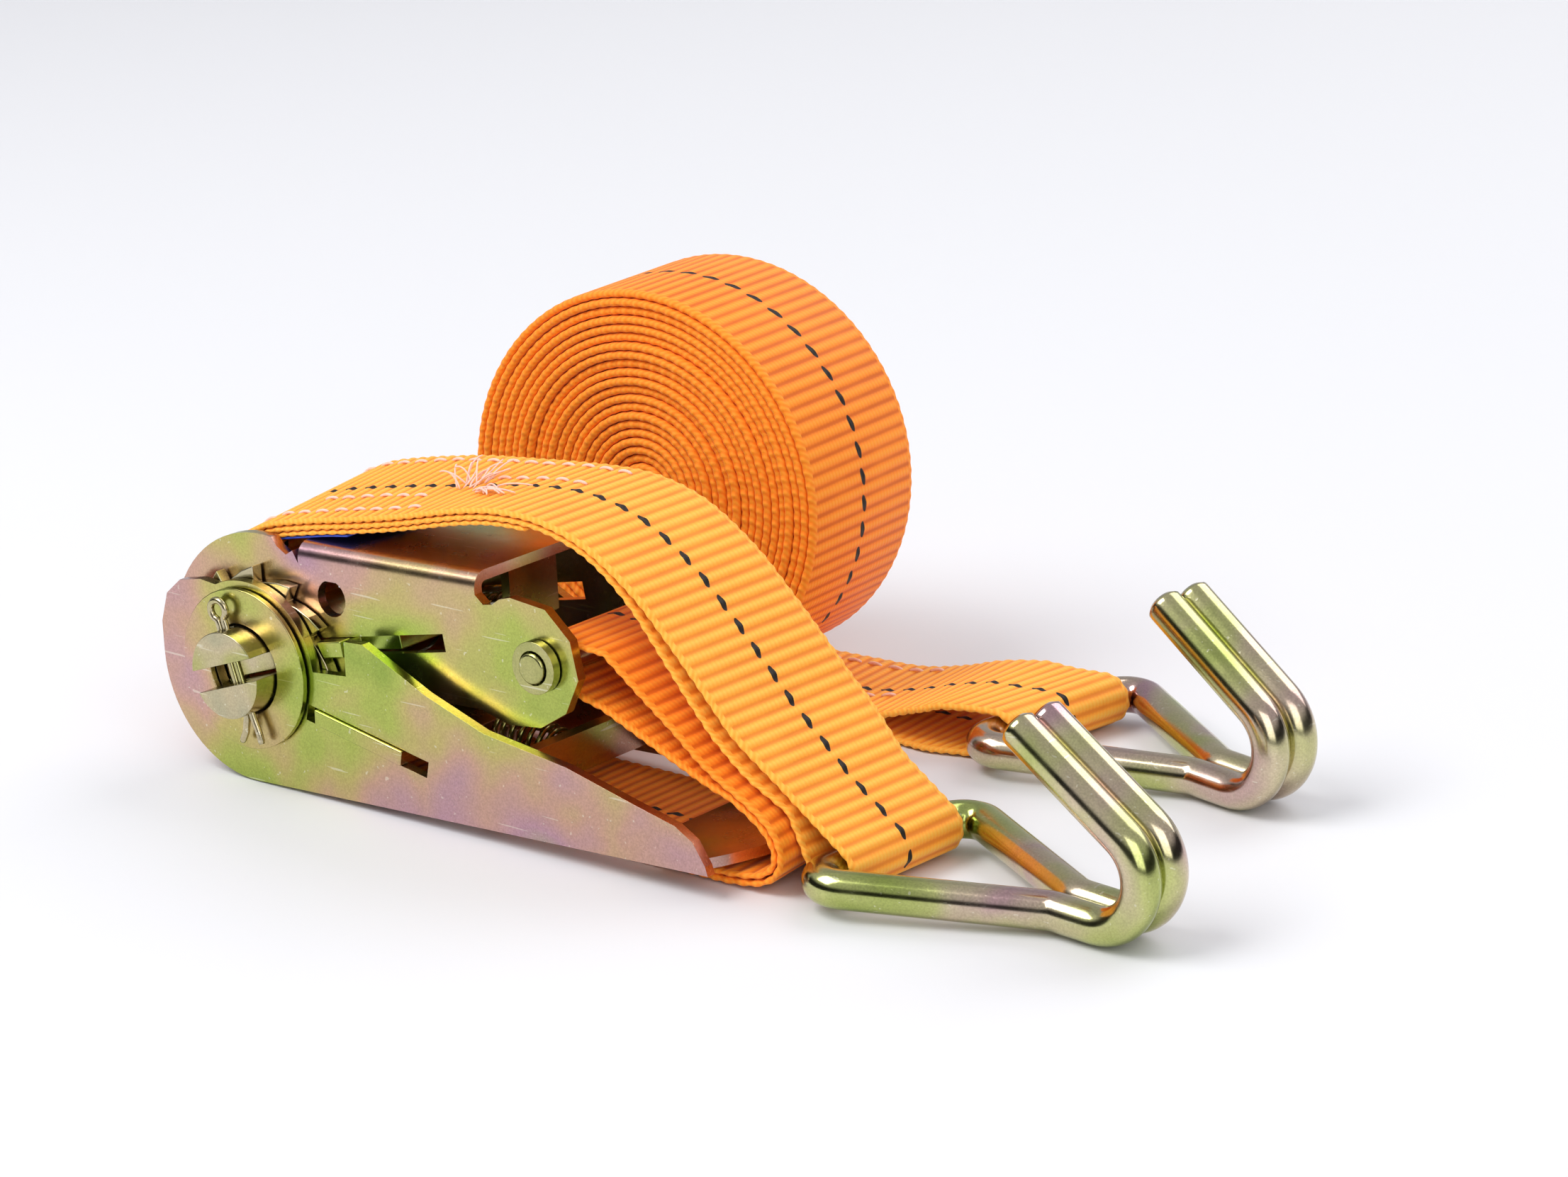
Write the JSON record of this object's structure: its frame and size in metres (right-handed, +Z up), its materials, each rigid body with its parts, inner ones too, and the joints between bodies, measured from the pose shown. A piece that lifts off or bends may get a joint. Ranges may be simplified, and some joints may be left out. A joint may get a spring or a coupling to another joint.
{
  "type": "ratchet tie down strap set",
  "caption": "Ratchet tie down for 35 mm webbing: closed buckle with a short hooked strap wrapped round it, and a rolled long strap with its own wire hook.",
  "frame": {"origin": "on the flat underside of the short strap, below the buckle", "axes": "+X along the closed handle towards the hooks, +Y across the strap towards the rolled strap, +Z up"},
  "size_m": [0.213, 0.1317, 0.0811],
  "materials": {
    "steel": "yellow zinc plated",
    "gear": "yellow zinc plated",
    "webbing": "woven polyester",
    "label": "woven tape"
  },
  "bodies": {
    "frame": {"frame_bracket": "steel", "frame_pin": "steel", "pin_ring_near": "steel", "pin_ring_far": "steel", "locking_spring": "steel", "strap_pin_eye": "webbing", "strap_wrap": "webbing", "strap_top_run": "webbing", "strap_hook_eye": "webbing", "strap_label": "label"},
    "handle": {"handle_bracket": "steel", "drive_spring": "steel"},
    "mandrel": {"mandrel_half_upper": "steel", "mandrel_half_lower": "steel", "gear_near": "gear", "gear_far": "gear", "washer_near": "steel", "washer_far": "steel", "cotter_near": "steel", "cotter_far": "steel"},
    "locking_pawl": {"locking_pawl": "steel"},
    "drive_pawl": {"drive_pawl": "steel"},
    "near_hook": {"near_hook": "steel"},
    "long_strap": {"long_strap": "webbing"},
    "far_hook": {"far_hook": "steel"}
  },
  "joints": [
    {"name": "handle_swing", "type": "hinge", "parent": "frame", "child": "handle", "pos_m": [-0.04, 0, 0.0223], "axis": [0, 1, 0], "range_deg": [0, 150], "deforming": ["strap_wrap"]},
    {"name": "mandrel_spin", "type": "hinge", "parent": "frame", "child": "mandrel", "pos_m": [-0.04, 0, 0.0223], "axis": [0, 1, 0], "continuous": true},
    {"name": "locking_pawl_slide", "type": "slide", "parent": "frame", "child": "locking_pawl", "axis": [0.9792, 0, 0.2028], "range_m": [0, 0.0045], "stiffness_N_per_m": 400, "springref_m": -0.004, "deforming": ["locking_spring"]},
    {"name": "drive_pawl_slide", "type": "slide", "parent": "handle", "child": "drive_pawl", "axis": [0.9836, 0, -0.1805], "range_m": [0, 0.004], "stiffness_N_per_m": 400, "springref_m": -0.004, "deforming": ["drive_spring"]},
    {"name": "near_hook_swing", "type": "hinge", "parent": "frame", "child": "near_hook", "pos_m": [0.087, 0.0025, 0.00525], "axis": [0.0436, 0.999, 0], "range_deg": [-45, 30]},
    {"name": "long_strap_lift", "type": "slide", "parent": "frame", "child": "long_strap", "axis": [0, 0, 1], "range_m": [0, 0.15]},
    {"name": "far_hook_swing", "type": "hinge", "parent": "long_strap", "child": "far_hook", "pos_m": [0.0698, 0.0766, 0.00525], "axis": [0.1478, 0.989, 0], "range_deg": [-45, 30]}
  ]
}
